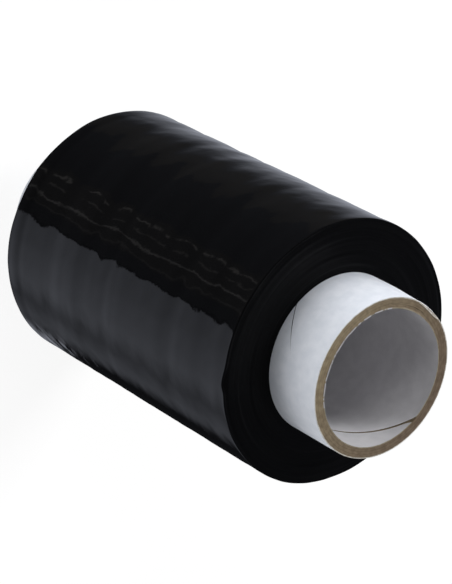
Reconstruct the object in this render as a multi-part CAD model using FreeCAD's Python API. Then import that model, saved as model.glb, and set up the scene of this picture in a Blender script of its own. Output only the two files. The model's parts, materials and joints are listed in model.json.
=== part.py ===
"""Mini roll of black stretch film on an extended paper core.

The roll stands on one end of its core. The origin is the centre of the core's
lower end, and +Z runs up the core's axis. All sizes are in millimetres.

The film is one solid: its turns are wound tight on the core, and show as steps
on both end faces and as gauge bands across the width. The core is a spiral-wound
tube: a brown board between two white paper liners, whose strips meet edge to edge
along a helical seam.
"""
import FreeCAD
import Part
import math
import os

# Core, from the bore outwards
bore_d = 38.0
inner_liner_t = 0.3
board_t = 2.5
outer_liner_t = 0.3

# Film
film_wall = 14.6
film_width = 100.0
bare_core_len = 18.5

# Gauge bands: where the web is a little thick, its turns build up a low crown
band_count = 6
band_crown = 0.12

# Groups of turns on the film's end faces, where the web shifted sideways as it was wound
group_count = 4
group_shift = 0.2

# Seams of the liners: right-handed helices of one lead
ply_lead = 78.0
inner_seam_gap = 0.5
outer_seam_gap = 0.25
inner_seam_top_deg = 74.4
outer_seam_top_deg = -21.2
seam_overrun = 6.0

# Parted plies on the board's upper end: a crescent along the inside of the ring
parting_reach = 0.6
parting_span_deg = 50.0
parting_middle_deg = -175.0
parting_depth = 0.6

# Sizes that follow
bore_r = bore_d / 2
board_in_r = bore_r + inner_liner_t
board_out_r = board_in_r + board_t
core_r = board_out_r + outer_liner_t
film_r = core_r + film_wall
core_len = film_width + 2 * bare_core_len
film_bottom = bare_core_len
film_top = film_bottom + film_width

ORIGIN = FreeCAD.Vector(0, 0, 0)
UP = FreeCAD.Vector(0, 0, 1)


def point(radius, z):
    """A point of a section, at a radius and a height in the XZ plane."""
    return FreeCAD.Vector(radius, 0, z)


def straight(points):
    """Straight edges through a list of points."""
    return [Part.LineSegment(a, b).toShape() for a, b in zip(points, points[1:])]


def tube(inner_r, outer_r):
    """A plain tube as long as the core."""
    outer = Part.makeCylinder(outer_r, core_len)
    return outer.cut(Part.makeCylinder(inner_r, core_len))


def end_groups(z, inward):
    """Points of one end face, from the core to the last turn.

    Every other group of turns reaches the film's full width, at height z, and the
    ones between stand back. inward is -1 on the upper face and 1 on the lower one.
    """
    last_r = film_r - band_crown
    pitch = (last_r - core_r) / group_count
    points = []
    for i in range(group_count):
        height = z + inward * group_shift * (i % 2)
        points.append(point(core_r + i * pitch, height))
        points.append(point(core_r + (i + 1) * pitch, height))
    return points


def side_bands(low, high):
    """Arcs up the film's side, one crown for each gauge band, from point to point."""
    height = (high.z - low.z) / band_count
    edges = []
    for i in range(band_count):
        foot = low.z + i * height
        start = point(low.x, foot)
        crest = point(film_r, foot + height / 2)
        end = point(low.x, foot + height)
        edges.append(Part.Arc(start, crest, end).toShape())
    return edges


def film_roll():
    """The wound film as one solid, with stepped ends and a banded side."""
    lower_face = end_groups(film_bottom, 1)
    upper_face = end_groups(film_top, -1)
    edges = straight(lower_face)
    edges += side_bands(lower_face[-1], upper_face[-1])
    edges += straight(upper_face[::-1] + lower_face[:1])
    section = Part.Face(Part.Wire(edges))
    return section.revolve(ORIGIN, UP, 360)


def seam_slot(inner_r, outer_r, gap, top_deg):
    """The gap between a liner's turns: a bar swept along the seam's helix.

    gap is measured square across the seam. top_deg is where the seam comes out at
    the core's upper end. The bar runs past the liner on every side but its own two.
    """
    middle_r = (inner_r + outer_r) / 2
    slope = math.atan(ply_lead / (2 * math.pi * middle_r))
    half = gap / math.cos(slope) / 2
    clear = outer_r - inner_r
    corners = [
        point(inner_r - clear, -half),
        point(outer_r + clear, -half),
        point(outer_r + clear, half),
        point(inner_r - clear, half),
    ]
    section = Part.Wire(straight(corners + corners[:1]))
    length = core_len + 2 * seam_overrun
    helix = Part.makeHelix(ply_lead, length, middle_r)
    slot = Part.Wire(helix.Edges).makePipeShell([section], True, True)
    start_deg = top_deg - 360 * (core_len + seam_overrun) / ply_lead
    slot.rotate(ORIGIN, UP, start_deg)
    slot.translate(FreeCAD.Vector(0, 0, -seam_overrun))
    return slot


def liner(inner_r, outer_r, gap, top_deg):
    """A strip of paper wound once over the board, with its edges a gap apart."""
    return tube(inner_r, outer_r).cut(seam_slot(inner_r, outer_r, gap, top_deg))


def parted_plies():
    """The crescent where the board's inner plies have come apart at the upper end.

    Its outer side is the arc through the crescent's two tips, on the board's inner
    edge, and through its widest point, which lies parting_reach further out.
    """
    widest_r = board_in_r + parting_reach
    tip_r = board_in_r * math.cos(math.radians(parting_span_deg / 2))
    shift = (widest_r ** 2 - board_in_r ** 2) / (2 * (widest_r - tip_r))
    angle = math.radians(parting_middle_deg)
    centre = FreeCAD.Vector(shift * math.cos(angle), shift * math.sin(angle), core_len - parting_depth)
    return Part.makeCylinder(widest_r - shift, 2 * parting_depth, centre)


def core_board():
    """The brown board tube, which carries both liners."""
    return tube(board_in_r, board_out_r).cut(parted_plies())


def main():
    """Makes each node and writes it as a STEP file of its own."""
    nodes = {
        "film_roll": film_roll(),
        "core_board": core_board(),
        "core_inner_liner": liner(bore_r, board_in_r, inner_seam_gap, inner_seam_top_deg),
        "core_outer_liner": liner(board_out_r, core_r, outer_seam_gap, outer_seam_top_deg),
    }
    os.makedirs("parts", exist_ok=True)
    for name, shape in nodes.items():
        shape.exportStep("parts/" + name + ".step")
        solids = len(shape.Solids)
        print(name, "valid", shape.isValid(), "solids", solids, "volume", round(shape.Volume, 1))


main()
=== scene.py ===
"""A hand roll of black stretch film on a spiral-wound paper core, standing on one end.

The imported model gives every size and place. The film, the board and the two paper
liners are modelled again here, finely enough for their gloss and their edges.
"""
import json
import logging
import math
from dataclasses import dataclass
from enum import Enum
from typing import Callable

import bmesh
import bpy
from mathutils import Matrix, Vector, noise


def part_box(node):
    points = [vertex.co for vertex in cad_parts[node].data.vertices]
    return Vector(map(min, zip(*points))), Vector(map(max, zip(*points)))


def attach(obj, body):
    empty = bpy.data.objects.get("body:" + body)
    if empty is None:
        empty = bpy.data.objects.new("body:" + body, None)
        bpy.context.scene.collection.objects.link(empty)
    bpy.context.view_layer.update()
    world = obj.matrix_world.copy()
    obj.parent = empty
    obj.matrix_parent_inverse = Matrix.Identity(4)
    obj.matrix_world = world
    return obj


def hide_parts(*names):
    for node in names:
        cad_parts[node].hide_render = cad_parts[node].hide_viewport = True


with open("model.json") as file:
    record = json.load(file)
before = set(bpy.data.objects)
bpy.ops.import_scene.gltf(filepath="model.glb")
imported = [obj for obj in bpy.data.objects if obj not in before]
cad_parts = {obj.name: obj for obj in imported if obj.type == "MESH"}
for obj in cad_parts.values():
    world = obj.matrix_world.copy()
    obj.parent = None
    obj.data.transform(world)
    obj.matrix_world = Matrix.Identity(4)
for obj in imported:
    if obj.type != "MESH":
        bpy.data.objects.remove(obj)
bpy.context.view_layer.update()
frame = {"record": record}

LOG = logging.getLogger("stretch_wrap_roll")
MM = 0.001
AXIS = Vector((0.0, 0.0, 1.0))
ORIGIN = Vector((0.0, 0.0, 0.0))
TOUCHING = 1e-6  # metres: points this close are one point
CREASE_DEG = 40.0  # edges bent by more than this stay sharp
LOOK_AT = Vector((-0.00026, -0.00006, 0.07114))  # what lies at the photograph's centre


def srgb(code: str) -> tuple[float, float, float, float]:
    """Turns an sRGB hex colour into linear values.

    Args:
        code: Six hex digits, with or without a leading hash.

    Returns:
        Red, green, blue and an alpha of one.
    """
    digits = code.lstrip("#")
    channels = [int(digits[i:i + 2], 16) / 255 for i in (0, 2, 4)]
    linear = [c / 12.92 if c <= 0.04045 else ((c + 0.055) / 1.055) ** 2.4 for c in channels]
    return (*linear, 1.0)


def smooth_step(low: float, high: float, value: float) -> float:
    """Rises smoothly from 0 at low to 1 at high."""
    t = min(max((value - low) / (high - low), 0.0), 1.0)
    return t * t * (3 - 2 * t)


def lump(distance: float, half_width: float, gain: float = 1.0) -> float:
    """A smooth hump of height 1 at distance 0, which ends at half_width; a gain above 1 widens its top."""
    return min(gain * (1 - smooth_step(0.0, half_width, abs(distance))), 1.0)


def angle_of(place: Vector) -> float:
    """The angle of a point round the roll's axis, in degrees."""
    return math.degrees(math.atan2(place.y, place.x))


def angle_between(a_deg: float, b_deg: float) -> float:
    """The shorter way round from b to a, in degrees, between -180 and 180."""
    return (a_deg - b_deg + 180) % 360 - 180


def grain(place: Vector, across: float, along: float, seed: float) -> float:
    """Smooth noise of about -0.5 to 0.5 whose cells lie round the roll's axis.

    Args:
        place: A point, in metres.
        across: Size of a cell square to the axis, in metres.
        along: Size of a cell along the axis, in metres.
        seed: Shifts the noise, so that each use has a pattern of its own.

    Returns:
        The noise at that point.
    """
    cell = Vector((place.x / across, place.y / across, place.z / along))
    return noise.noise(cell + Vector((seed, -seed * 1.7, seed * 0.6)))


def add_node(
    tree: bpy.types.NodeTree,
    kind: str,
    inputs: dict[str | int, object] | None = None,
    **settings: object,
) -> bpy.types.Node:
    """Adds a node with its settings, and its inputs as values or links.

    Args:
        tree: The node tree.
        kind: Blender's name for the node.
        inputs: Input socket name or number to a value, or to the socket that feeds it.
        **settings: The node's own properties.

    Returns:
        The new node.
    """
    node = tree.nodes.new(kind)
    for name, value in settings.items():
        setattr(node, name, value)
    for key, value in (inputs or {}).items():
        if isinstance(value, bpy.types.NodeSocket):
            tree.links.new(value, node.inputs[key])
        else:
            node.inputs[key].default_value = value
    return node


def new_material(name: str) -> bpy.types.Material:
    """Makes an empty node material.

    Args:
        name: What the material really is, and how it was made.

    Returns:
        The material, without any node.
    """
    material = bpy.data.materials.new(name)
    material.use_nodes = True
    material.node_tree.nodes.clear()
    return material


def object_noise(
    tree: bpy.types.NodeTree,
    cell_mm: tuple[float, float, float],
    detail: float = 2.0,
    spread: tuple[float, float] | None = None,
) -> bpy.types.NodeSocket:
    """Noise on object coordinates with cells of a real size.

    Args:
        tree: The node tree.
        cell_mm: Size of a cell along X, Y and Z.
        detail: Octaves of finer noise.
        spread: The two values of the noise that become 0 and 1, for more contrast.

    Returns:
        The noise's value socket.
    """
    place = add_node(tree, "ShaderNodeTexCoord").outputs["Object"]
    scale = tuple(1 / (size * MM) for size in cell_mm)
    cells = add_node(tree, "ShaderNodeMapping", {"Vector": place, "Scale": scale})
    texture = add_node(
        tree, "ShaderNodeTexNoise", {"Vector": cells.outputs["Vector"], "Scale": 1.0, "Detail": detail}
    )
    if spread is None:
        return texture.outputs["Fac"]
    inputs = {"Value": texture.outputs["Fac"], "From Min": spread[0], "From Max": spread[1]}
    return add_node(tree, "ShaderNodeMapRange", inputs).outputs["Result"]


def radius_from_axis(tree: bpy.types.NodeTree) -> bpy.types.NodeSocket:
    """The distance of the shaded point from the roll's axis.

    Args:
        tree: The node tree.

    Returns:
        The distance's value socket, in metres.
    """
    place = add_node(tree, "ShaderNodeTexCoord").outputs["Object"]
    flat = add_node(tree, "ShaderNodeVectorMath", {0: place, 1: (1.0, 1.0, 0.0)}, operation="MULTIPLY")
    return add_node(tree, "ShaderNodeVectorMath", {0: flat.outputs[0]}, operation="LENGTH").outputs["Value"]


@dataclass(frozen=True)
class StretchFilmSide:
    """Cast polyethylene film, wound tight: each turn lies flat on the last, so the side is a dark mirror.

    The coat stands for the last turn's own gloss, which is stronger where it clings without air
    under it. The mesh's attribute "cling" says how well it clings, in bands round the roll.
    """

    colour: str = "#060607"
    roughness: float = 0.045
    roughness_change: float = 0.03
    ior: float = 1.5
    specular: float = 0.36
    coat_roughness: float = 0.045
    ripple_round_mm: float = 2.6
    ripple_along_mm: float = 1.5
    ripple_height_mm: float = 0.024
    line_along_mm: float = 0.7
    line_height_mm: float = 0.0012
    haze_mm: tuple[float, float, float] = (60.0, 60.0, 4.0)
    haze_spread: tuple[float, float] = (0.35, 0.7)

    def build(self) -> bpy.types.Material:
        """Makes the material.

        Returns:
            The material: fine ripples and die lines over the mesh's own broad ones.
        """
        material = new_material("cast_stretch_film_side")
        tree = material.node_tree
        around, along = self.ripple_round_mm, self.ripple_along_mm
        ripples = object_noise(tree, (around, around, along), 2.2)
        cling = add_node(tree, "ShaderNodeAttribute", attribute_name="cling").outputs["Fac"]
        lines = object_noise(tree, (400.0, 400.0, self.line_along_mm), 3.0)
        first = add_node(
            tree, "ShaderNodeBump", {"Height": lines, "Strength": 1.0, "Distance": self.line_height_mm * MM}
        )
        second = add_node(
            tree,
            "ShaderNodeBump",
            {
                "Height": ripples,
                "Strength": 1.0,
                "Distance": self.ripple_height_mm * MM,
                "Normal": first.outputs["Normal"],
            },
        )
        haze = object_noise(tree, self.haze_mm, 2.0, self.haze_spread)
        roughness = add_node(
            tree,
            "ShaderNodeMath",
            {0: haze, 1: self.roughness_change, 2: self.roughness},
            operation="MULTIPLY_ADD",
        )
        shader = add_node(
            tree,
            "ShaderNodeBsdfPrincipled",
            {
                "Base Color": srgb(self.colour),
                "Roughness": roughness.outputs[0],
                "IOR": self.ior,
                "Specular IOR Level": self.specular,
                "Normal": second.outputs["Normal"],
                "Coat Weight": cling,
                "Coat Roughness": self.coat_roughness,
                "Coat Normal": second.outputs["Normal"],
            },
        )
        add_node(tree, "ShaderNodeOutputMaterial", {"Surface": shader.outputs["BSDF"]})
        return material


@dataclass(frozen=True)
class StretchFilmEdges:
    """The slit edges of the film's turns: a fine stack that traps light, with a sheen like a record's."""

    colour: str = "#070708"
    pale_colour: str = "#0d0d0e"
    roughness: float = 0.32
    specular: float = 0.058
    ring_mm: float = 0.3
    ring_height_mm: float = 0.022
    drift_mm: float = 26.0
    pale_spread: tuple[float, float] = (0.4, 0.7)

    def build(self) -> bpy.types.Material:
        """Makes the material.

        Returns:
            The material. The real turns are 0.02 mm thick, too fine to show, so the rings are
            drawn 0.3 mm wide.
        """
        material = new_material("slit_stretch_film_edges")
        tree = material.node_tree
        radius = radius_from_axis(tree)
        place = add_node(tree, "ShaderNodeTexCoord").outputs["Object"]
        parts = add_node(tree, "ShaderNodeSeparateXYZ", {"Vector": place})
        # noise that changes quickly outwards and slowly across the face draws the turns as rings
        cells = []
        for value, size_mm in (
            (radius, self.ring_mm),
            (parts.outputs["X"], self.drift_mm),
            (parts.outputs["Y"], self.drift_mm),
        ):
            inputs = {0: value, 1: 1 / (size_mm * MM)}
            cells.append(add_node(tree, "ShaderNodeMath", inputs, operation="MULTIPLY").outputs[0])
        turns = add_node(tree, "ShaderNodeCombineXYZ", dict(zip("XYZ", cells)))
        texture = add_node(
            tree, "ShaderNodeTexNoise", {"Vector": turns.outputs[0], "Scale": 1.0, "Detail": 3.0}
        )
        rings = texture.outputs["Fac"]
        inputs = {"Value": rings, "From Min": self.pale_spread[0], "From Max": self.pale_spread[1]}
        pale = add_node(tree, "ShaderNodeMapRange", inputs)
        colour = add_node(
            tree,
            "ShaderNodeMix",
            {"Factor": pale.outputs["Result"], 6: srgb(self.colour), 7: srgb(self.pale_colour)},
            data_type="RGBA",
        )
        bump = add_node(
            tree, "ShaderNodeBump", {"Height": rings, "Strength": 1.0, "Distance": self.ring_height_mm * MM}
        )
        shader = add_node(
            tree,
            "ShaderNodeBsdfPrincipled",
            {
                "Base Color": colour.outputs[2],
                "Roughness": self.roughness,
                "Specular IOR Level": self.specular,
                "Normal": bump.outputs["Normal"],
            },
        )
        add_node(tree, "ShaderNodeOutputMaterial", {"Surface": shader.outputs["BSDF"]})
        return material


@dataclass(frozen=True)
class LinerPaper:
    """Bleached paper, calendered: matt and slightly blue, with cloudy fibres and a soft tooth."""

    name: str
    colour: str
    shade_colour: str
    roughness: float = 0.62
    specular: float = 0.35
    cloud_mm: float = 3.0
    cloud_spread: tuple[float, float] = (0.35, 0.65)
    fibre_mm: float = 0.28
    fibre_height_mm: float = 0.008

    def build(self) -> bpy.types.Material:
        """Makes the material.

        Returns:
            The material: clouds of fibre in its colour, and the tooth as bump.
        """
        material = new_material(self.name)
        tree = material.node_tree
        clouds = object_noise(tree, (self.cloud_mm,) * 3, 4.0, self.cloud_spread)
        fibres = object_noise(tree, (self.fibre_mm, self.fibre_mm, self.fibre_mm * 2.5), 2.0)
        colour = add_node(
            tree,
            "ShaderNodeMix",
            {"Factor": clouds, 6: srgb(self.shade_colour), 7: srgb(self.colour)},
            data_type="RGBA",
        )
        inputs = {"Height": fibres, "Strength": 1.0, "Distance": self.fibre_height_mm * MM}
        bump = add_node(tree, "ShaderNodeBump", inputs)
        shader = add_node(
            tree,
            "ShaderNodeBsdfPrincipled",
            {
                "Base Color": colour.outputs[2],
                "Roughness": self.roughness,
                "Specular IOR Level": self.specular,
                "Normal": bump.outputs["Normal"],
            },
        )
        add_node(tree, "ShaderNodeOutputMaterial", {"Surface": shader.outputs["BSDF"]})
        return material


@dataclass(frozen=True)
class CutEdge:
    """A knife-cut edge: the blade smears the board's brown dust over it, so that it shows dark. In the
    seams the same finish also carries painted shade: darker colours for the shade in their narrow gaps.
    """

    name: str
    colour: str
    dust_and_shade_colour: str
    roughness: float = 0.9
    specular: float = 0.2
    smear_mm: float = 1.1
    smear_spread: tuple[float, float] = (0.4, 0.6)

    def build(self) -> bpy.types.Material:
        """Makes the material.

        Returns:
            The material: the face's colour and the dust's, in smears along the edge.
        """
        material = new_material(self.name)
        tree = material.node_tree
        smears = object_noise(tree, (self.smear_mm,) * 3, 3.0, self.smear_spread)
        colour = add_node(
            tree,
            "ShaderNodeMix",
            {"Factor": smears, 6: srgb(self.colour), 7: srgb(self.dust_and_shade_colour)},
            data_type="RGBA",
        )
        shader = add_node(
            tree,
            "ShaderNodeBsdfPrincipled",
            {
                "Base Color": colour.outputs[2],
                "Roughness": self.roughness,
                "Specular IOR Level": self.specular,
            },
        )
        add_node(tree, "ShaderNodeOutputMaterial", {"Surface": shader.outputs["BSDF"]})
        return material


@dataclass(frozen=True)
class KraftBoard:
    """Recycled brown board, cut across with a knife: dull, fibrous, with its plies as darker rings.

    The end is darker towards +Y.
    """

    inner_r: float
    outer_r: float
    ply_count: int = 6
    colour: str = "#ae9f84"
    dark_colour: str = "#978870"
    line_colour: str = "#7a6b54"
    plus_y_darkening_colour: str = "#cbc3cb"
    line_share: float = 0.2
    line_strength: float = 0.75
    roughness: float = 0.88
    specular: float = 0.2
    mottle_mm: float = 1.5
    mottle_spread: tuple[float, float] = (0.35, 0.65)
    waver_mm: float = 4.0
    fibre_mm: float = 0.22
    fibre_height_mm: float = 0.03

    def build(self) -> bpy.types.Material:
        """Makes the material.

        Returns:
            The material: mottled brown, with one darker line where two plies are glued.
        """
        material = new_material("cut_kraft_board")
        tree = material.node_tree
        mottle = object_noise(tree, (self.mottle_mm,) * 3, 4.0, self.mottle_spread)
        body = add_node(
            tree,
            "ShaderNodeMix",
            {"Factor": mottle, 6: srgb(self.dark_colour), 7: srgb(self.colour)},
            data_type="RGBA",
        )
        # the plies are counted outwards, and each line wavers by up to half a ply
        ply = (self.outer_r - self.inner_r) / self.ply_count
        waver = object_noise(tree, (self.waver_mm,) * 3, 2.0)
        count = add_node(
            tree,
            "ShaderNodeMath",
            {0: radius_from_axis(tree), 1: 1 / ply, 2: -self.inner_r / ply - 0.5},
            operation="MULTIPLY_ADD",
        )
        plies = add_node(tree, "ShaderNodeMath", {0: count.outputs[0], 1: waver}, operation="ADD")
        across = add_node(tree, "ShaderNodeMath", {0: plies.outputs[0], 1: 1.0}, operation="PINGPONG")
        inputs = {"Value": across.outputs[0], "From Max": self.line_share}
        line = add_node(tree, "ShaderNodeMapRange", inputs | {"To Min": self.line_strength, "To Max": 0.0})
        colour = add_node(
            tree,
            "ShaderNodeMix",
            {"Factor": line.outputs["Result"], 6: body.outputs[2], 7: srgb(self.line_colour)},
            data_type="RGBA",
        )
        # the end's colour is multiplied darker towards +Y
        place = add_node(tree, "ShaderNodeTexCoord").outputs["Object"]
        parts = add_node(tree, "ShaderNodeSeparateXYZ", {"Vector": place})
        toward_plus_y = add_node(
            tree,
            "ShaderNodeMapRange",
            {"Value": parts.outputs["Y"], "From Min": -self.outer_r, "From Max": self.outer_r},
        )
        plus_y_darkened = add_node(
            tree,
            "ShaderNodeMix",
            {"Factor": toward_plus_y.outputs["Result"], 6: colour.outputs[2], 7: srgb(self.plus_y_darkening_colour)},
            data_type="RGBA",
            blend_type="MULTIPLY",
        )
        fibres = object_noise(tree, (self.fibre_mm,) * 3, 3.0)
        inputs = {"Height": fibres, "Strength": 1.0, "Distance": self.fibre_height_mm * MM}
        bump = add_node(tree, "ShaderNodeBump", inputs)
        shader = add_node(
            tree,
            "ShaderNodeBsdfPrincipled",
            {
                "Base Color": plus_y_darkened.outputs[2],
                "Roughness": self.roughness,
                "Specular IOR Level": self.specular,
                "Normal": bump.outputs["Normal"],
            },
        )
        add_node(tree, "ShaderNodeOutputMaterial", {"Surface": shader.outputs["BSDF"]})
        return material


def add_object(name: str, data: bpy.types.ID) -> bpy.types.Object:
    """Adds an object to the scene.

    Args:
        name: Its name.
        data: Its mesh, lamp or camera.

    Returns:
        The object, at the origin.
    """
    thing = bpy.data.objects.new(name, data)
    bpy.context.scene.collection.objects.link(thing)
    return thing


def lies_flat(face: bmesh.types.BMFace) -> bool:
    """Whether a face looks along the roll's axis rather than away from it."""
    return abs(face.normal.z) > 0.5


def finish_piece(
    name: str,
    mesh: bmesh.types.BMesh,
    materials: list[bpy.types.Material],
    nodes: tuple[str, ...],
) -> bpy.types.Object:
    """Turns a bmesh into a smooth-shaded piece that rides on the roll and stands for its nodes.

    Args:
        name: The piece's name.
        mesh: The finished bmesh, which is freed.
        materials: The materials, in the order of the faces' material numbers.
        nodes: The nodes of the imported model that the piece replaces.

    Returns:
        The piece.
    """
    for edge in mesh.edges:
        edge.smooth = not edge.is_manifold or edge.calc_face_angle(0.0) < math.radians(CREASE_DEG)
    data = bpy.data.meshes.new(name)
    mesh.to_mesh(data)
    mesh.free()
    piece = add_object(name, data)
    for material in materials:
        data.materials.append(material)
    data.shade_smooth()
    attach(piece, "root")
    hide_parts(*nodes)
    LOG.info("%s: %d faces", name, len(data.polygons))
    return piece


def spun(points: list[Vector], steps: int) -> bmesh.types.BMesh:
    """Spins a closed section about the axis into a closed ring.

    Args:
        points: The section's corners in the XZ plane, in order, the last joined to the first.
        steps: How many steps make the full turn.

    Returns:
        The bmesh, with its faces pointing outwards.
    """
    mesh = bmesh.new()
    corners = [mesh.verts.new(p) for p in points]
    edges = [mesh.edges.new((a, b)) for a, b in zip(corners, corners[1:] + corners[:1])]
    bmesh.ops.spin(
        mesh,
        geom=corners + edges,
        cent=ORIGIN,
        axis=AXIS,
        angle=math.tau,
        steps=steps,
        use_merge=True,
    )
    bmesh.ops.remove_doubles(mesh, verts=mesh.verts, dist=TOUCHING)
    bmesh.ops.recalc_face_normals(mesh, faces=mesh.faces)
    return mesh


@dataclass(frozen=True)
class Band:
    """A soft band round the roll, by its middle's height, half its width and its strength.

    In a gauge band the film is a little thinner, and the strength is how deep the side sinks there,
    in mm. In a cling band the last turn shines more, or less where the strength is below 0.
    """

    height_mm: float
    half_width_mm: float
    strength: float

    def at(self, height: float) -> float:
        """The band's strength at a height in metres."""
        return self.strength * lump(height - self.height_mm * MM, self.half_width_mm * MM)


@dataclass(frozen=True)
class Waves:
    """Uneven waves: how far they go up and down, and their size round the roll and along it."""

    depth_mm: float
    round_mm: float
    along_mm: float
    seed: float
    level: float = 0.3

    def shift(self, place: Vector) -> float:
        """The waves' height at a point, in metres, above or below 0."""
        return self.depth_mm * MM * grain(place, self.round_mm * MM, self.along_mm * MM, self.seed)

    def drop(self, place: Vector) -> float:
        """How far a waved surface lies back at a point, in metres; only its highest waves stand proud."""
        return self.level * self.depth_mm * MM - self.shift(place)


@dataclass
class FilmRoll:
    """The wound film: a banded, rippled side between two faces of turns.

    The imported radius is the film's largest: bands, dents and ripples go in from it.
    """

    core_r: float
    film_r: float
    bottom: float
    top: float
    steps: int = 300
    side_rows: int = 168
    face_rows: int = 44
    rim_r: float = 0.4 * MM
    rim_rows: int = 4
    gauge_bands: tuple[Band, ...] = (
        Band(4.5, 3.2, 0.06),
        Band(16.5, 4.8, 0.13),
        Band(33.5, 4.6, 0.13),
        Band(43.5, 4.4, 0.13),
        Band(52.5, 4.2, 0.05),
        Band(61.5, 3.6, 0.06),
        Band(73.0, 5.0, 0.13),
        Band(85.5, 5.4, 0.09),
        Band(95.0, 3.6, 0.07),
    )
    cling_share: float = 0.25
    cling_bands: tuple[Band, ...] = (
        Band(1.5, 1.2, 0.24),
        Band(4.5, 2.4, -0.27),
        Band(7.0, 1.8, 0.1),
        Band(19.5, 3.2, 0.1),
        Band(23.0, 3.6, 0.34),
        Band(28.0, 4.5, 0.17),
        Band(32.5, 3.0, -0.12),
        Band(38.0, 3.0, 0.1),
        Band(47.2, 2.6, 0.26),
        Band(50.5, 2.6, 0.08),
        Band(71.5, 4.5, -0.16),
        Band(77.3, 2.8, 0.15),
        Band(86.5, 4.0, -0.09),
        Band(94.5, 3.0, 0.07),
    )
    gauge_drift: Waves = Waves(1.6, 45.0, 60.0, 3.1)
    cling_drift: Waves = Waves(1.5, 45.0, 60.0, 8.8)
    calm_deg: float = -42.0
    calm_half_deg: float = 64.0
    calm_share: float = 0.8
    straight_deg: float = -8.0
    straight_half_deg: float = 48.0
    flat_top: float = 1.6
    dents: Waves = Waves(0.18, 14.0, 9.0, 12.7)
    ripples: Waves = Waves(0.05, 3.6, 3.2, 21.9)
    lanes: Waves = Waves(0.012, 160.0, 2.2, 30.3)
    group_count: int = 4
    group_wander: float = 0.25
    group_shift: float = 0.12 * MM
    step_blur: float = 0.08
    step_fade: float = 0.3 * MM
    turns_drawn: float = 34.0
    turn_height: float = 0.05 * MM
    turn_wander: float = 55.0 * MM
    tail_deg: float = 118.0
    tail_wander_deg: float = 5.0
    tail_height: float = 0.05 * MM
    rim_waves: Waves = Waves(0.22, 8.0, 400.0, 51.0)
    rim_reach: float = 1.5 * MM
    rim_depth: float = 3.0 * MM
    nick_deg: float = -55.5
    nick_slope_deg: float = 9.0
    nick_steep_deg: float = 4.5
    nick_depth: float = 0.85 * MM

    def section(self) -> list[Vector]:
        """The film's section: out over the upper face, down the side and back along the lower face.

        Returns:
            Its corners in the XZ plane, in order.
        """
        outer = self.film_r - self.rim_r
        points = []
        for i in range(self.face_rows + 1):
            radius = self.core_r + (outer - self.core_r) * i / self.face_rows
            points.append(Vector((radius, 0.0, self.top)))
        for i in range(1, self.rim_rows):
            turn = math.pi / 2 * i / self.rim_rows
            radius = outer + self.rim_r * math.sin(turn)
            points.append(Vector((radius, 0.0, self.top - self.rim_r * (1 - math.cos(turn)))))
        low, high = self.bottom + self.rim_r, self.top - self.rim_r
        for i in range(self.side_rows + 1):
            points.append(Vector((self.film_r, 0.0, high + (low - high) * i / self.side_rows)))
        for i in range(1, self.rim_rows):
            turn = math.pi / 2 * i / self.rim_rows
            radius = outer + self.rim_r * math.cos(turn)
            points.append(Vector((radius, 0.0, self.bottom + self.rim_r * (1 - math.sin(turn)))))
        for i in range(self.face_rows + 1):
            radius = outer + (self.core_r - outer) * i / self.face_rows
            points.append(Vector((radius, 0.0, self.bottom)))
        return points

    def side_drop(self, place: Vector) -> float:
        """How far the side lies inside the film's full radius at a point, in metres.

        Args:
            place: A point on the plain cylinder.

        Returns:
            The drop, which is never negative.
        """
        angle = angle_of(place)
        calm = lump(angle_between(angle, self.calm_deg), self.calm_half_deg, self.flat_top)
        straight = lump(angle_between(angle, self.straight_deg), self.straight_half_deg, self.flat_top)
        height = place.z - self.bottom + self.gauge_drift.shift(place)
        drop = MM * sum(band.at(height) for band in self.gauge_bands)
        drop *= 1 - self.calm_share * straight
        drop += self.dents.drop(place) * (1 - self.calm_share * calm)
        drop += self.ripples.drop(place) + self.lanes.drop(place)
        return max(drop + self.tail_drop(place), 0.0)

    def cling(self, place: Vector) -> float:
        """How well the last turn clings at a point.

        Args:
            place: A point of the film's surface.

        Returns:
            The coat's weight there, from 0 to 1.
        """
        height = place.z - self.bottom + self.cling_drift.shift(place)
        share = self.cling_share + sum(band.at(height) for band in self.cling_bands)
        return min(max(share, 0.0), 1.0)

    def tail_drop(self, place: Vector) -> float:
        """The last turn's drop: a step just past the film's loose end, which runs out round the roll.

        Args:
            place: A point of the side.

        Returns:
            The drop, in metres.
        """
        edge = self.tail_deg + self.tail_wander_deg * grain(place, 500 * MM, 30 * MM, 44.0)
        past = (angle_of(place) - edge) % 360
        return self.tail_height * (1 - past / 360)

    def rim_drop(self, place: Vector) -> float:
        """How far the last turns' edges stand back: they wander, and the upper rim has one nick.

        Args:
            place: A point of the side or of a face, before it is moved.

        Returns:
            The drop along the axis, which ends a few millimetres from the rim.
        """
        near = smooth_step(self.film_r - self.rim_reach, self.film_r - self.rim_reach / 3, place.xy.length)
        near *= 1 - smooth_step(0.0, self.rim_depth, min(self.top - place.z, place.z - self.bottom))
        turned = angle_between(angle_of(place), self.nick_deg)
        upper = place.z > (self.bottom + self.top) / 2
        nick = self.nick_depth * lump(turned, self.nick_steep_deg if turned > 0 else self.nick_slope_deg)
        return near * (max(self.rim_waves.drop(place), 0.0) + upper * nick)

    def face_drop(self, place: Vector) -> float:
        """How far an end face stands back from the film's full width: every other group of turns does.

        Args:
            place: A point of the face.

        Returns:
            The drop along the axis, in metres.
        """
        share = (place.xy.length - self.core_r) / (self.film_r - self.core_r)
        group = share * self.group_count + self.group_wander * grain(place, 60 * MM, 60 * MM, 5.0)
        step = self.group_shift * smooth_step(0.5 - self.step_blur, 0.5, abs(group % 2.0 - 1.0))
        turn = Vector((share * self.turns_drawn, place.x / self.turn_wander, place.y / self.turn_wander))
        return step + self.turn_height * (0.5 + noise.noise(turn))

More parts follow.
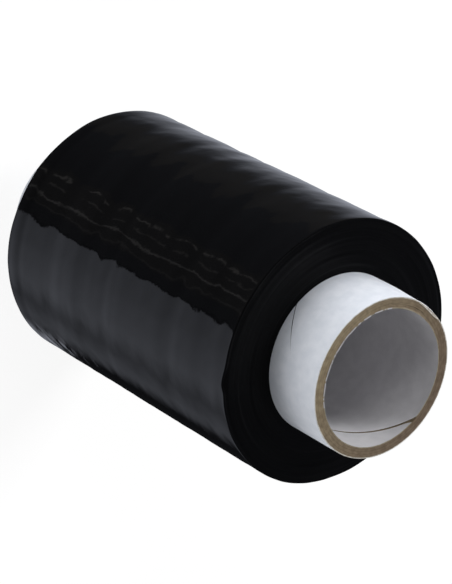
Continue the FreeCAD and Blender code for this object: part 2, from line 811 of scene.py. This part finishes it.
    def build(self) -> bpy.types.Object:
        """Models and dresses the film.

        Returns:
            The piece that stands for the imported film.
        """
        mesh = spun(self.section(), self.steps)
        outer = self.film_r - self.rim_r
        middle = (self.bottom + self.top) / 2
        cling = mesh.verts.layers.float.new("cling")
        for vert in mesh.verts:
            place = vert.co.copy()
            vert[cling] = self.cling(place)
            radius = place.xy.length
            side = 1 if place.z > middle else -1
            vert.co.z -= side * self.rim_drop(place)
            if radius > outer + TOUCHING:
                flat = place.xy.normalized() * (radius - self.side_drop(place))
                vert.co.x, vert.co.y = flat
            elif radius > self.core_r + TOUCHING:
                fade = 1 - smooth_step(outer - self.step_fade, outer, radius)
                vert.co.z -= side * self.face_drop(place) * fade
        for face in mesh.faces:
            face.material_index = 1 if lies_flat(face) else 0
        materials = [StretchFilmSide().build(), StretchFilmEdges().build()]
        return finish_piece("film_roll_wound", mesh, materials, ("film_roll",))


class PlyFace(Enum):
    """Which side of the board a paper liner covers."""

    INSIDE = "inside"
    OUTSIDE = "outside"


@dataclass
class WoundLiner:
    """One strip of paper wound round the core, with its two edges meeting along a helix."""

    face: PlyFace
    inner_r: float
    outer_r: float
    length: float
    gap: float
    seam_top_deg: float
    closed_from: float
    tip: float = 1.6 * MM
    tip_round: float = 0.6
    closing_length: float = 4.0 * MM
    closing_share: float = 0.985
    lead: float = 78.0 * MM
    columns: int = 1280
    rows: int = 24

    def edge_height(self, turned_deg: float) -> float:
        """Height of the strip's lower edge line at an angle that counts whole turns."""
        return self.length + (turned_deg - self.seam_top_deg) * self.lead / 360

    def half_gap(self) -> float:
        """Half of the seam's gap, measured along the axis."""
        slope = math.atan(self.lead / (math.tau * (self.inner_r + self.outer_r) / 2))
        return self.gap / math.cos(slope) / 2

    def closing(self, height: float) -> float:
        """How far each edge moves into the gap, which narrows towards the mouth from closed_from up."""
        narrowed = smooth_step(self.closed_from, self.closed_from + self.closing_length, height)
        return self.closing_share * self.half_gap() * narrowed

    def rounded(self, width: float) -> float:
        """The strip's width at its last corner at the mouth, where use has rounded the point off."""
        missing = max(self.tip - width, 0.0) / (self.tip_round * self.tip)
        return width * math.sqrt(max(1 - missing * missing, 0.0))

    def strip(self, worn: Callable[[Vector], Vector]) -> bmesh.types.BMesh:
        """Winds a flat grid into the strip and gives it its thickness.

        Args:
            worn: Moves a point of the strip to where wear has left it.

        Returns:
            The bmesh of the strip, closed all round.
        """
        mesh = bmesh.new()
        bmesh.ops.create_grid(mesh, x_segments=self.columns, y_segments=self.rows, size=0.5)
        half = self.half_gap()
        # the strip starts where its whole width is below the foot and ends where it is above the mouth
        first = self.seam_top_deg - (self.length + self.lead - half) * 360 / self.lead
        last = self.seam_top_deg - half * 360 / self.lead
        radius = self.outer_r if self.face is PlyFace.OUTSIDE else self.inner_r
        for vert in mesh.verts:
            turned = first + (vert.co.x + 0.5) * (last - first)
            low = self.edge_height(turned) + half
            high = low + self.lead - 2 * half
            high = min(high + self.closing(high), self.length)
            low = min(max(low - self.closing(low), 0.0), high)
            low = self.length - self.rounded(self.length - low) if high == self.length else low
            share = (1 - math.cos(math.pi * (vert.co.y + 0.5))) / 2  # closer rows towards both edges
            angle = math.radians(turned)
            across, along = radius * math.cos(angle), radius * math.sin(angle)
            vert.co = worn(Vector((across, along, low + (high - low) * share)))
        bmesh.ops.remove_doubles(mesh, verts=mesh.verts, dist=TOUCHING)
        thickness = self.outer_r - self.inner_r
        inwards = self.face is PlyFace.OUTSIDE
        shell = bmesh.ops.extrude_face_region(mesh, geom=mesh.faces[:], use_keep_orig=True)
        for vert in (v for v in shell["geom"] if isinstance(v, bmesh.types.BMVert)):
            step = vert.co.xy.normalized() * thickness
            vert.co.xy = vert.co.xy - step if inwards else vert.co.xy + step
        bmesh.ops.recalc_face_normals(mesh, faces=mesh.faces)
        return mesh


@dataclass
class PaperCore:
    """The spiral-wound core: a board tube between a white outer and a white inner liner.

    Its length is that of the cut board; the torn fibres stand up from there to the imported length.
    """

    bore_r: float
    board_in_r: float
    board_out_r: float
    core_r: float
    length: float
    board_steps: int = 288
    board_rows: int = 28
    wall_rows: int = 8
    outer_gap: float = 0.22 * MM
    outer_closed: float = 15.5 * MM
    outer_tip: float = 0.4 * MM
    inner_gap: float = 0.62 * MM
    outer_seam_deg: float = -21.2
    inner_seam_deg: float = 74.4
    mouth_deg: float = -178.0
    mouth_half_deg: float = 55.0
    mouth_press: float = 0.5 * MM
    mouth_depth: float = 12.0 * MM
    end_depth: float = 0.5 * MM
    outer_wander: float = 0.05 * MM
    inner_wander: float = 0.06 * MM
    lip_deg: float = 166.0
    lip_half_deg: float = 11.0
    lip_tail_deg: float = 24.0
    lip_flat: float = 1.2
    lip_reach: float = 0.58 * MM
    lip_fold: float = 0.25 * MM
    lip_height: float = 0.1 * MM
    lip_ragged: float = 0.25
    torn_deg: float = -98.0
    torn_half_deg: float = 66.0
    torn_flat: float = 2.2
    torn_height: float = 0.15 * MM
    torn_lean: float = 0.1 * MM
    torn_depth: float = 1.0 * MM
    torn_share: float = 0.42
    torn_from: float = 0.12
    parting_deg: float = -168.0
    parting_half_deg: float = 30.0
    parting_flat: float = 2.0
    parting_reach: float = 0.75 * MM
    parting_depth: float = 0.09 * MM
    parting_width: float = 0.16 * MM
    parted_drop: float = 0.06 * MM
    parted_blur: float = 0.1 * MM
    rough_depth: float = 0.07 * MM
    rough_edge: float = 0.08

    def pressed(self, place: Vector) -> Vector:
        """Moves a point in where the core's mouth has been pressed slightly out of round.

        Args:
            place: A point of the round core.

        Returns:
            The point as it lies now.
        """
        share = lump(angle_between(angle_of(place), self.mouth_deg), self.mouth_half_deg)
        share *= smooth_step(self.length - self.mouth_depth, self.length, place.z)
        return place - Vector((place.x, place.y, 0.0)).normalized() * self.mouth_press * share

    def worn_outside(self, place: Vector) -> Vector:
        """The outer liner's wear: a short lip of its upper edge folds in over the board.

        Args:
            place: A point of the round liner.

        Returns:
            The point as it lies now, on an edge that wanders a little.
        """
        turned = angle_between(angle_of(place), self.lip_deg)
        lip = lump(turned, self.lip_tail_deg if turned > 0 else self.lip_half_deg, self.lip_flat)
        lip *= 1 + self.lip_ragged * grain(place, 2.6 * MM, 50 * MM, 2.0)
        lip *= smooth_step(self.length - self.lip_fold, self.length, place.z)
        flat = place.xy.normalized() * (place.xy.length - self.lip_reach * lip)
        height = place.z + self.lip_height * lip + self.edge_wander(place, self.outer_wander)
        return self.pressed(Vector((flat.x, flat.y, height)))

    def tufts(self, place: Vector) -> float:
        """How far torn fibres stand up from the inner liner's edge at a point.

        Args:
            place: A point of the liner.

        Returns:
            The share of their full height, from 0 to 1.
        """
        torn = lump(angle_between(angle_of(place), self.torn_deg), self.torn_half_deg, self.torn_flat)
        torn *= smooth_step(self.length - self.torn_depth, self.length, place.z)
        foot = Vector((place.x, place.y, 0.0)).normalized() * self.bore_r
        clumps = 1.1 * grain(foot, 1.6 * MM, MM, 6.0)
        fibres = 1.2 * grain(foot, 0.6 * MM, MM, 9.0)
        return torn * min(max(self.torn_share + clumps + fibres, 0.0), 1.0)

    def worn_inside(self, place: Vector) -> Vector:
        """The inner liner's wear: its upper edge is torn into fibres on one side.

        Args:
            place: A point of the round liner.

        Returns:
            The point as it lies now.
        """
        tuft = self.tufts(place)
        flat = place.xy.normalized() * (place.xy.length - self.torn_lean * tuft)
        height = place.z + self.torn_height * tuft + self.edge_wander(place, self.inner_wander)
        return self.pressed(Vector((flat.x, flat.y, height)))

    def edge_wander(self, place: Vector, size: float) -> float:
        """How far the cut upper end lies off its plane at a point."""
        near_end = smooth_step(self.length - self.end_depth, self.length, place.z)
        return -size * near_end * (0.5 + grain(place, 1.2 * MM, 80 * MM, 15.0))

    def build_liner(
        self,
        liner: WoundLiner,
        worn: Callable[[Vector], Vector],
        paper: LinerPaper,
        edge: CutEdge,
        seam: CutEdge,
    ) -> None:
        """Models and dresses one paper liner.

        Args:
            liner: The liner's sizes.
            worn: Its wear.
            paper: The finish of its faces.
            edge: The finish of its cut ends.
            seam: The finish of its two edges at the seam; on the outer liner a painted shade.
        """
        node = "core_outer_liner" if liner.face is PlyFace.OUTSIDE else "core_inner_liner"
        mesh = liner.strip(worn)
        for face in mesh.faces:
            middle = face.calc_center_median()
            torn = liner.face is PlyFace.INSIDE and self.tufts(middle) > self.torn_from
            cut = 1 if min(middle.z, self.length - middle.z) < self.end_depth else 2
            face.material_index = cut if lies_flat(face) and not torn else 0
        materials = [paper.build(), edge.build(), seam.build()]
        finish_piece(node + "_paper", mesh, materials, (node,))

    def build_board(self) -> None:
        """Models and dresses the board tube, with its plies and their parting on the upper end."""
        points = []
        for i in range(self.board_rows + 1):
            radius = self.board_in_r + (self.board_out_r - self.board_in_r) * i / self.board_rows
            points.append(Vector((radius, 0.0, self.length)))
        rows = range(1, self.wall_rows + 1)
        walls = [self.length - self.mouth_depth * i / self.wall_rows for i in rows]
        points += [Vector((self.board_out_r, 0.0, height)) for height in walls]
        for i in range(self.board_rows + 1):
            radius = self.board_out_r + (self.board_in_r - self.board_out_r) * i / self.board_rows
            points.append(Vector((radius, 0.0, 0.0)))
        points += [Vector((self.board_in_r, 0.0, height)) for height in reversed(walls)]
        mesh = spun(points, self.board_steps)
        for face in mesh.faces:
            wall = 2 if face.normal.dot(face.calc_center_median()) > 0 else 1
            face.material_index = 0 if lies_flat(face) else wall
        for vert in mesh.verts:
            if vert.co.z > self.length - 0.01 * MM:
                vert.co.z -= self.board_drop(vert.co)
            vert.co = self.pressed(vert.co)
        plies = KraftBoard(self.board_in_r, self.board_out_r)
        # the board's walls show only through the liners' seams: their dark colours are partly glue and
        # partly painted shade of the narrow gaps
        inside = CutEdge("glued_board_and_painted_shade", "#7d6f5a", "#8c7d66")
        outside = CutEdge("glue_soaked_board_and_painted_shade", "#222226", "#2c2c30")
        materials = [plies.build(), inside.build(), outside.build()]
        finish_piece("core_board_plies", mesh, materials, ("core_board",))

    def board_drop(self, place: Vector) -> float:
        """How far the board's upper end lies below its cut: it is rough, and its inner plies have parted.

        Args:
            place: A point of the upper end.

        Returns:
            The drop along the axis, in metres.
        """
        radius = place.xy.length
        share = (radius - self.board_in_r) / (self.board_out_r - self.board_in_r)
        from_edge = min(share, 1 - share)
        inside = smooth_step(0.0, self.rough_edge, from_edge)
        rough = self.rough_depth * (0.5 + grain(place, 0.5 * MM, 80 * MM, 11.0))
        turned = angle_between(angle_of(place), self.parting_deg)
        spread = lump(turned, self.parting_half_deg, self.parting_flat)
        crack_r = self.board_in_r + self.parting_reach * spread
        crack = self.parting_depth * lump(radius - crack_r, self.parting_width)
        parted = 1 - smooth_step(crack_r - self.parted_blur, crack_r + self.parted_blur, radius)
        return rough * inside + (crack + self.parted_drop * parted) * spread

    def build(self) -> None:
        """Builds the board and both liners in their order from the inside out."""
        inner = WoundLiner(
            face=PlyFace.INSIDE,
            inner_r=self.bore_r,
            outer_r=self.board_in_r,
            length=self.length,
            gap=self.inner_gap,
            seam_top_deg=self.inner_seam_deg,
            closed_from=self.length,
        )
        outer = WoundLiner(
            face=PlyFace.OUTSIDE,
            inner_r=self.board_out_r,
            outer_r=self.core_r,
            length=self.length,
            gap=self.outer_gap,
            seam_top_deg=self.outer_seam_deg,
            closed_from=self.length - self.outer_closed,
            tip=self.outer_tip,
        )
        inside = LinerPaper("calendered_paper_inside", "#dfdee1", "#d7d6d9")
        outside = LinerPaper("calendered_paper_outside", "#e2e6ee", "#d8dde6")
        cut_inside = CutEdge("cut_paper_inside", "#a39781", "#b3a995")
        cut_outside = CutEdge("cut_paper_outside", "#d6d0c4", "#ece8e0")
        seam_inside = CutEdge("slit_paper_inside", "#9c9079", "#aba08a")
        # painted shade: the outer liner's slit edges are dark grey for the shade in the seam's narrow gap
        seam_outside = CutEdge("slit_paper_outside_painted_shade", "#4c4d52", "#5a5b60")
        self.build_liner(inner, self.worn_inside, inside, cut_inside, seam_inside)
        self.build_board()
        self.build_liner(outer, self.worn_outside, outside, cut_outside, seam_outside)


@dataclass(frozen=True)
class Panel:
    """A bright panel of the studio's surroundings, as the glossy film sees it.

    Azimuths are in degrees about the roll, counted from -Y towards +X, and the panel
    fades over the two fade angles inside its ends. A low strip is seen only between
    two heights of direction, so that the film's ripples break it up. A leaning panel's
    ends move by its lean for each unit of height, so that the gauge bands draw waves on them.
    Its warmth says how much of its light has the lamps' warm colour.
    """

    name: str
    from_deg: float
    to_deg: float
    fade_in_deg: float
    fade_out_deg: float
    strength: float
    from_height: float = -3.0
    to_height: float = 3.0
    lean_deg: float = 0.0
    warmth: float = 0.0


@dataclass(frozen=True)
class Softbox:
    """A square softbox that faces the roll, placed by its direction from the roll."""

    name: str
    azimuth_deg: float
    elevation_deg: float
    distance: float
    size: float
    watts: float

    def place(self) -> Vector:
        """Where it hangs, from the roll's middle.

        Returns:
            The place; its azimuth counts from +X towards +Y.
        """
        flat = math.cos(math.radians(self.elevation_deg))
        turn = math.radians(self.azimuth_deg)
        lift = math.sin(math.radians(self.elevation_deg))
        return self.distance * Vector((flat * math.cos(turn), flat * math.sin(turn), lift))


@dataclass
class Studio:
    """Floor, surroundings, lamps and camera."""

    target: Vector
    photo_width: int = 452
    photo_height: int = 584
    focal_px: float = 2583.3
    sensor_mm: float = 36.0
    camera_distance: float = 0.7035
    camera_elevation_deg: float = 46.52
    camera_roll_deg: float = 118.46
    floor_size: float = 6.0
    floor_colour: str = "#f4f4f4"
    floor_white_share: float = 0.7
    floor_white_strength: float = 1.24
    floor_fill_share: float = 0.75
    floor_foot_strength: float = 0.75
    floor_fill_strength: float = 2.4
    floor_far_strength: float = 0.35
    floor_foot_r: tuple[float, float] = (0.09, 0.17)
    floor_fill_r: tuple[float, float] = (0.2, 0.8)
    gloss_colour: str = "#e6ebfa"
    warm_colour: str = "#ffe6aa"
    room_strength: float = 0.01
    upper_strength: float = 0.3
    upper_heights: tuple[float, float] = (0.2, 0.5)
    lower_heights: tuple[float, float] = (-0.89, -0.58)
    lower_shares: tuple[float, float] = (0.56, 1.38)
    lean_height: float = -0.726
    lean_reach: float = 0.12
    fill_strength: float = 0.06
    zenith_strength: float = 0.45
    zenith_heights: tuple[float, float] = (0.6, 0.95)
    panels: tuple[Panel, ...] = (
        Panel("backdrop", -176.0, -102.0, 6.0, 60.0, 0.46, lean_deg=50.0),
        Panel("dark_room", -120.0, 23.0, 20.0, 3.0, 0.045),
        Panel("dim_wall", -124.0, -82.0, 20.0, 2.5, 0.022, lean_deg=150.0, warmth=0.8),
        Panel("dim_shelf", -28.0, 12.0, 3.0, 3.0, 0.014, warmth=1.0),
        Panel("lamp_row_far", -22.2, -19.2, 1.4, 1.4, 0.26, -0.79, -0.68, warmth=0.3),
        Panel("lamp_row_middle", -12.4, -9.8, 1.3, 1.3, 0.14, -0.78, -0.66, warmth=0.3),
        Panel("lamp_row_near", -2.2, 0.2, 1.0, 1.0, 0.26, -0.9, -0.5, warmth=0.25),
        Panel("lamp_row_last", 7.4, 9.4, 1.0, 1.0, 0.08, warmth=0.25),
        Panel("white_table", 22.4, 104.0, 1.2, 30.0, 0.47),
        Panel("table_middle", 38.0, 78.0, 15.0, 15.0, 0.05),
        Panel("table_by_the_roll", 60.0, 142.0, 50.0, 24.0, 0.21),
        Panel("table_edge", 124.0, 178.0, 30.0, 3.0, 0.5, -0.8, -0.75),
    )
    softboxes: tuple[Softbox, ...] = (
        Softbox("key_softbox", 167.0, 31.0, 1.2, 0.35, 7.2),
        Softbox("side_softbox", -126.0, 20.0, 1.2, 0.5, 2.4),
        Softbox("table_bounce", 15.0, 10.0, 1.0, 0.5, 2.1),
        Softbox("low_card", -125.0, -8.0, 0.4, 0.2, 0.55),
    )

    def build_camera(self) -> None:
        """Places the camera at the photograph's viewing angle, turned as the photographed roll lies."""
        data = bpy.data.cameras.new("camera")
        data.sensor_width = self.sensor_mm
        data.lens = self.focal_px * self.sensor_mm / max(self.photo_width, self.photo_height)
        data.clip_start = 0.01
        data.clip_end = 50.0
        camera = add_object("camera", data)
        tilt = math.radians(self.camera_elevation_deg)
        forward = Vector((0.0, math.cos(tilt), -math.sin(tilt)))
        upright = Matrix.Rotation(math.pi / 2 - tilt, 4, "X")
        roll = Matrix.Rotation(math.radians(self.camera_roll_deg), 4, "Z")
        place = Matrix.Translation(self.target - forward * self.camera_distance)
        camera.matrix_world = place @ upright @ roll
        bpy.context.scene.camera = camera

    def build_floor(self) -> None:
        """Lays a plain pale floor that keeps the roll's shadow."""
        mesh = bmesh.new()
        bmesh.ops.create_grid(mesh, x_segments=1, y_segments=1, size=self.floor_size / 2)
        data = bpy.data.meshes.new("floor")
        mesh.to_mesh(data)
        mesh.free()
        floor = add_object("floor", data)
        material = new_material("white_studio_floor")
        tree = material.node_tree
        seen = self.seen_ray(tree)
        # what the floor gives the roll: little by its foot, most beside it and little far away
        fill: bpy.types.NodeSocket | float = self.floor_foot_strength
        for (near, far), level in (
            (self.floor_foot_r, self.floor_fill_strength),
            (self.floor_fill_r, self.floor_far_strength),
        ):
            inputs = {"Value": radius_from_axis(tree), "From Min": near, "From Max": far}
            inputs |= {"To Min": fill, "To Max": level}
            fill = add_node(tree, "ShaderNodeMapRange", inputs).outputs["Result"]
        inputs = {"Value": seen, "To Min": self.floor_fill_share, "To Max": self.floor_white_share}
        share = add_node(tree, "ShaderNodeMapRange", inputs).outputs["Result"]
        inputs = {"Value": seen, "To Min": fill, "To Max": self.floor_white_strength}
        strength = add_node(tree, "ShaderNodeMapRange", inputs).outputs["Result"]
        lit = add_node(tree, "ShaderNodeBsdfDiffuse", {"Color": srgb(self.floor_colour)})
        glow = add_node(tree, "ShaderNodeEmission", {"Color": (1.0, 1.0, 1.0, 1.0), "Strength": strength})
        mixed = add_node(tree, "ShaderNodeMixShader", {0: share, 1: lit.outputs[0], 2: glow.outputs[0]})
        add_node(tree, "ShaderNodeOutputMaterial", {"Surface": mixed.outputs[0]})
        data.materials.append(material)
        floor.visible_glossy = False

    def seen_ray(self, tree: bpy.types.NodeTree) -> bpy.types.NodeSocket:
        """Tells the rays that see the floor from those that only light things.

        Args:
            tree: The floor's node tree.

        Returns:
            The socket that is 1 for camera, glossy and transmission rays, and 0 for others.
        """
        path = add_node(tree, "ShaderNodeLightPath")
        seen = path.outputs["Is Camera Ray"]
        for kind in ("Is Glossy Ray", "Is Transmission Ray"):
            inputs = {0: seen, 1: path.outputs[kind]}
            seen = add_node(tree, "ShaderNodeMath", inputs, operation="MAXIMUM").outputs[0]
        return seen

    def panel_light(
        self,
        tree: bpy.types.NodeTree,
        azimuth: bpy.types.NodeSocket,
        height: bpy.types.NodeSocket,
        panel: Panel,
    ) -> bpy.types.NodeSocket:
        """One panel's brightness in a direction.

        Args:
            tree: The world's node tree.
            azimuth: The direction's azimuth in degrees.
            height: The direction's Z.
            panel: The panel.

        Returns:
            Its brightness: a smooth rise, a level and a smooth fall.
        """
        if panel.lean_deg:
            inputs = {
                "Value": height,
                "From Min": self.lean_height - self.lean_reach,
                "From Max": self.lean_height + self.lean_reach,
                "To Min": -self.lean_reach * panel.lean_deg,
                "To Max": self.lean_reach * panel.lean_deg,
            }
            lean = add_node(tree, "ShaderNodeMapRange", inputs).outputs["Result"]
            azimuth = add_node(tree, "ShaderNodeMath", {0: azimuth, 1: lean}, operation="ADD").outputs[0]
        edges = [
            (azimuth, panel.from_deg, panel.from_deg + panel.fade_in_deg),
            (azimuth, panel.to_deg, panel.to_deg - panel.fade_out_deg),
        ]
        if panel.from_height > -1:
            fade = (panel.to_height - panel.from_height) / 3
            edges.append((height, panel.from_height, panel.from_height + fade))
            edges.append((height, panel.to_height, panel.to_height - fade))
        light: bpy.types.NodeSocket | float = panel.strength
        for value, dark, lit in edges:
            inputs = {"Value": value, "From Min": dark, "From Max": lit}
            edge = add_node(tree, "ShaderNodeMapRange", inputs, interpolation_type="SMOOTHSTEP")
            inputs = {0: light, 1: edge.outputs["Result"]}
            light = add_node(tree, "ShaderNodeMath", inputs, operation="MULTIPLY").outputs[0]
        return light

    def build_surroundings(self) -> None:
        """Sets the world: white to the camera, lit panels to gloss, and a weak fill from above."""
        world = bpy.data.worlds.new("studio")
        world.use_nodes = True
        bpy.context.scene.world = world
        tree = world.node_tree
        tree.nodes.clear()
        direction = add_node(tree, "ShaderNodeTexCoord").outputs["Generated"]
        parts = add_node(tree, "ShaderNodeSeparateXYZ", {"Vector": direction})
        height = parts.outputs["Z"]
        front = add_node(tree, "ShaderNodeMath", {0: parts.outputs["Y"], 1: -1.0}, operation="MULTIPLY")
        turn = add_node(
            tree, "ShaderNodeMath", {0: parts.outputs["X"], 1: front.outputs[0]}, operation="ARCTAN2"
        )
        azimuth = add_node(tree, "ShaderNodeMath", {0: turn.outputs[0]}, operation="DEGREES").outputs[0]
        total: bpy.types.NodeSocket | float = self.room_strength
        warm: bpy.types.NodeSocket | float = 0.0
        for panel in self.panels:
            light = self.panel_light(tree, azimuth, height, panel)
            total = add_node(tree, "ShaderNodeMath", {0: total, 1: light}, operation="ADD").outputs[0]
            if panel.warmth:
                inputs = {0: light, 1: panel.warmth, 2: warm}
                warm = add_node(tree, "ShaderNodeMath", inputs, operation="MULTIPLY_ADD").outputs[0]
        # the gloss sees the panels dimmer by the roll's foot, and an even light from above
        dimmed = add_node(
            tree,
            "ShaderNodeMapRange",
            {
                "Value": height,
                "From Min": self.lower_heights[0],
                "From Max": self.lower_heights[1],
                "To Min": self.lower_shares[0],
                "To Max": self.lower_shares[1],
            },
        )
        inputs = {0: total, 1: dimmed.outputs["Result"]}
        lower = add_node(tree, "ShaderNodeMath", inputs, operation="MULTIPLY")
        level = add_node(
            tree,
            "ShaderNodeMapRange",
            {
                "Value": height,
                "From Min": self.upper_heights[0],
                "From Max": self.upper_heights[1],
                "To Min": lower.outputs[0],
                "To Max": self.upper_strength,
            },
            interpolation_type="SMOOTHSTEP",
        )
        fill = add_node(
            tree,
            "ShaderNodeMapRange",
            {
                "Value": height,
                "From Min": self.zenith_heights[0],
                "From Max": self.zenith_heights[1],
                "To Min": self.fill_strength,
                "To Max": self.zenith_strength,
            },
        )
        path = add_node(tree, "ShaderNodeLightPath")
        strength = fill.outputs["Result"]
        for kind, shown in (("Is Glossy Ray", level.outputs["Result"]), ("Is Camera Ray", 1.0)):
            inputs = {0: path.outputs[kind], 2: strength, 3: shown}
            strength = add_node(tree, "ShaderNodeMix", inputs, data_type="FLOAT").outputs[0]
        warm_share = add_node(tree, "ShaderNodeMath", {0: warm, 1: total}, operation="DIVIDE").outputs[0]
        room = add_node(
            tree,
            "ShaderNodeMix",
            {0: warm_share, 6: srgb(self.gloss_colour), 7: srgb(self.warm_colour)},
            data_type="RGBA",
        )
        tint = add_node(
            tree,
            "ShaderNodeMix",
            {0: path.outputs["Is Glossy Ray"], 6: (1.0, 1.0, 1.0, 1.0), 7: room.outputs[2]},
            data_type="RGBA",
        )
        inputs = {"Color": tint.outputs[2], "Strength": strength}
        background = add_node(tree, "ShaderNodeBackground", inputs)
        add_node(tree, "ShaderNodeOutputWorld", {"Surface": background.outputs[0]})

    def add_softbox(self, box: Softbox) -> None:
        """Hangs a softbox, which the camera and the glossy film don't see.

        Args:
            box: The softbox.
        """
        data = bpy.data.lights.new(box.name, "AREA")
        data.shape = "SQUARE"
        data.size = box.size
        data.energy = box.watts
        lamp = add_object(box.name, data)
        lamp.location = self.target + box.place()
        lamp.rotation_mode = "QUATERNION"
        lamp.rotation_quaternion = (-box.place()).to_track_quat("-Z", "Y")
        lamp.visible_camera = False
        lamp.visible_glossy = False

    def build(self) -> None:
        """Builds the whole studio."""
        view = bpy.context.scene.view_settings
        view.view_transform = "Standard"
        self.build_camera()
        self.build_floor()
        self.build_surroundings()
        for box in self.softboxes:
            self.add_softbox(box)


def outer_radius(node: str) -> float:
    """The radius of a round node about the axis, from its box."""
    low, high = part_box(node)
    return max(abs(low[0]), abs(low[1]), abs(high[0]), abs(high[1]))


def bore_radius() -> float:
    """The core's bore, from the record's mounts."""
    bore = next(m for m in frame["record"]["mounts"] if m["name"] == "core_bore")
    return bore["dims"]["r_mm"] * MM


def main() -> None:
    """Builds the film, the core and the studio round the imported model."""
    logging.basicConfig(level=logging.INFO, format="%(name)s: %(message)s")
    film_low, film_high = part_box("film_roll")
    core_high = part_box("core_board")[1]
    Studio(target=LOOK_AT).build()
    FilmRoll(
        core_r=outer_radius("core_outer_liner"),
        film_r=outer_radius("film_roll"),
        bottom=film_low[2],
        top=film_high[2],
    ).build()
    PaperCore(
        bore_r=bore_radius(),
        board_in_r=outer_radius("core_inner_liner"),
        board_out_r=outer_radius("core_board"),
        core_r=outer_radius("core_outer_liner"),
        length=core_high[2] - PaperCore.torn_height,
    ).build()


if __name__ == "__main__":
    main()
